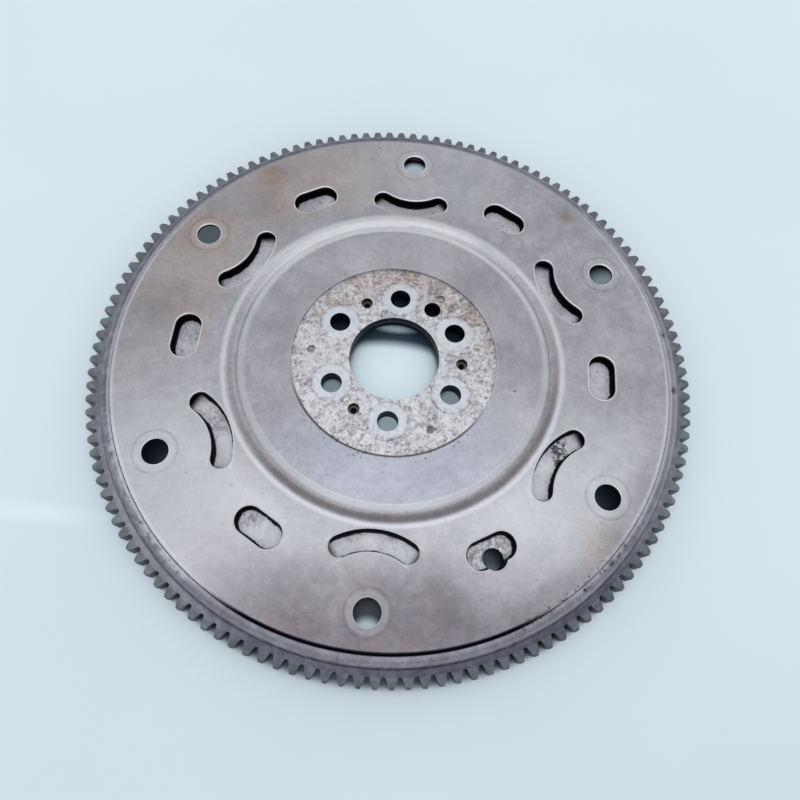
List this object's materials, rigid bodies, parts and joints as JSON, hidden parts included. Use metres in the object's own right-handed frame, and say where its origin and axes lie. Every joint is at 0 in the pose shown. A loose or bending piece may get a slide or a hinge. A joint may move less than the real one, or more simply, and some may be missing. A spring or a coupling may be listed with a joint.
{
  "type": "flywheel ring gear",
  "caption": "Starter ring gear on a slotted, pressed drive plate with a recessed hub face, a pilot bore and two bolt circles.",
  "frame": {"origin": "on the part's axis, at the underside of the ring gear", "axes": "+Z along the axis, from the crankshaft side to the converter side; +Y through one converter bolt hole and one crank bolt hole"},
  "size_m": [0.2858, 0.2858, 0.0145],
  "materials": {
    "ring_gear": "turned, worn",
    "drive_plate": "pressed sheet, satin with light staining",
    "hub_spacer": "ground, speckled with rust",
    "carrier_plate": "rolled plate, speckled",
    "hollow_rivets": "plain"
  },
  "bodies": {
    "root": {"ring_gear": "ring_gear", "drive_plate": "drive_plate", "hub_spacer": "hub_spacer", "carrier_plate": "carrier_plate", "hollow_rivets": "hollow_rivets"}
  },
  "joints": []
}
